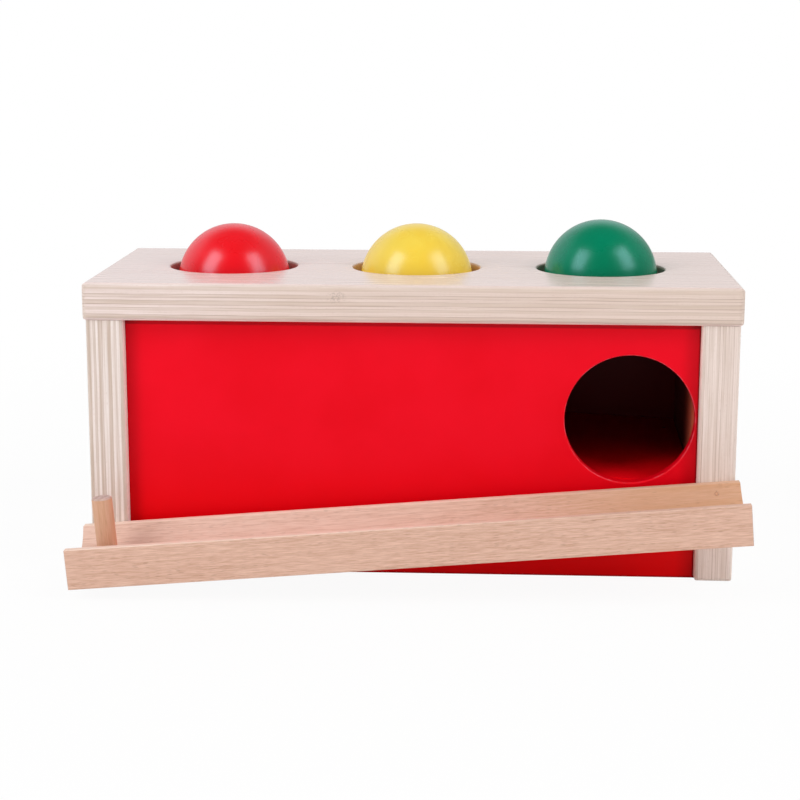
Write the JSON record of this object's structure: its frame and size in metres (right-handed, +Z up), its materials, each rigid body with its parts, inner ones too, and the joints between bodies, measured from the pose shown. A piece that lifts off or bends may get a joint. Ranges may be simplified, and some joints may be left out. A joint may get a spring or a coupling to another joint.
{
  "type": "push ball box",
  "caption": "Plywood box with balls in soft rings in its top; a pressed ball drops inside, rolls out of the round front hole and runs down a sloping coved track to a peg.",
  "frame": {"origin": "on the table, under the middle of the whole object, track and balls included", "axes": "+X to the right along the length, +Y from the track to the back panel, +Z up"},
  "size_m": [0.2634, 0.1528, 0.1387],
  "materials": {
    "birch_plywood": "sanded birch plywood, clear matt varnish",
    "red_painted_wood": "satin red paint on plywood",
    "beech": "sanded beech, clear matt varnish",
    "red_lacquer": "gloss red lacquer on turned wood",
    "yellow_lacquer": "gloss yellow lacquer on turned wood",
    "green_lacquer": "gloss green lacquer on turned wood",
    "grip_rubber": "matt soft rubber",
    "zinc_steel": "zinc plated"
  },
  "bodies": {
    "box": {"top_board": "birch_plywood", "left_end_board": "birch_plywood", "right_end_board": "birch_plywood", "left_lid_dowels": "beech", "right_lid_dowels": "beech", "front_panel": "red_painted_wood", "back_panel": "red_painted_wood", "ramp_board": "red_painted_wood", "left_ramp_cleat": "beech", "right_ramp_cleat": "beech", "cleat_screws": "zinc_steel", "ramp_brads": "zinc_steel", "left_grip_ring": "grip_rubber", "middle_grip_ring": "grip_rubber", "right_grip_ring": "grip_rubber", "left_ring_screws": "zinc_steel", "middle_ring_screws": "zinc_steel", "right_ring_screws": "zinc_steel", "ball_track": "beech", "stop_peg": "beech", "track_brads": "zinc_steel"},
    "red_ball": {"red_ball": "red_lacquer"},
    "yellow_ball": {"yellow_ball": "yellow_lacquer"},
    "green_ball": {"green_ball": "green_lacquer"}
  },
  "joints": [
    {"name": "red_ball_push", "type": "slide", "parent": "box", "child": "red_ball", "axis": [0, 0, 1], "range_m": [-0.0373, 0.04], "deforming": ["left_grip_ring"]},
    {"name": "yellow_ball_push", "type": "slide", "parent": "box", "child": "yellow_ball", "axis": [0, 0, 1], "range_m": [-0.0418, 0.04], "deforming": ["middle_grip_ring"]},
    {"name": "green_ball_push", "type": "slide", "parent": "box", "child": "green_ball", "axis": [0, 0, 1], "range_m": [-0.048, 0.04], "deforming": ["right_grip_ring"]}
  ]
}
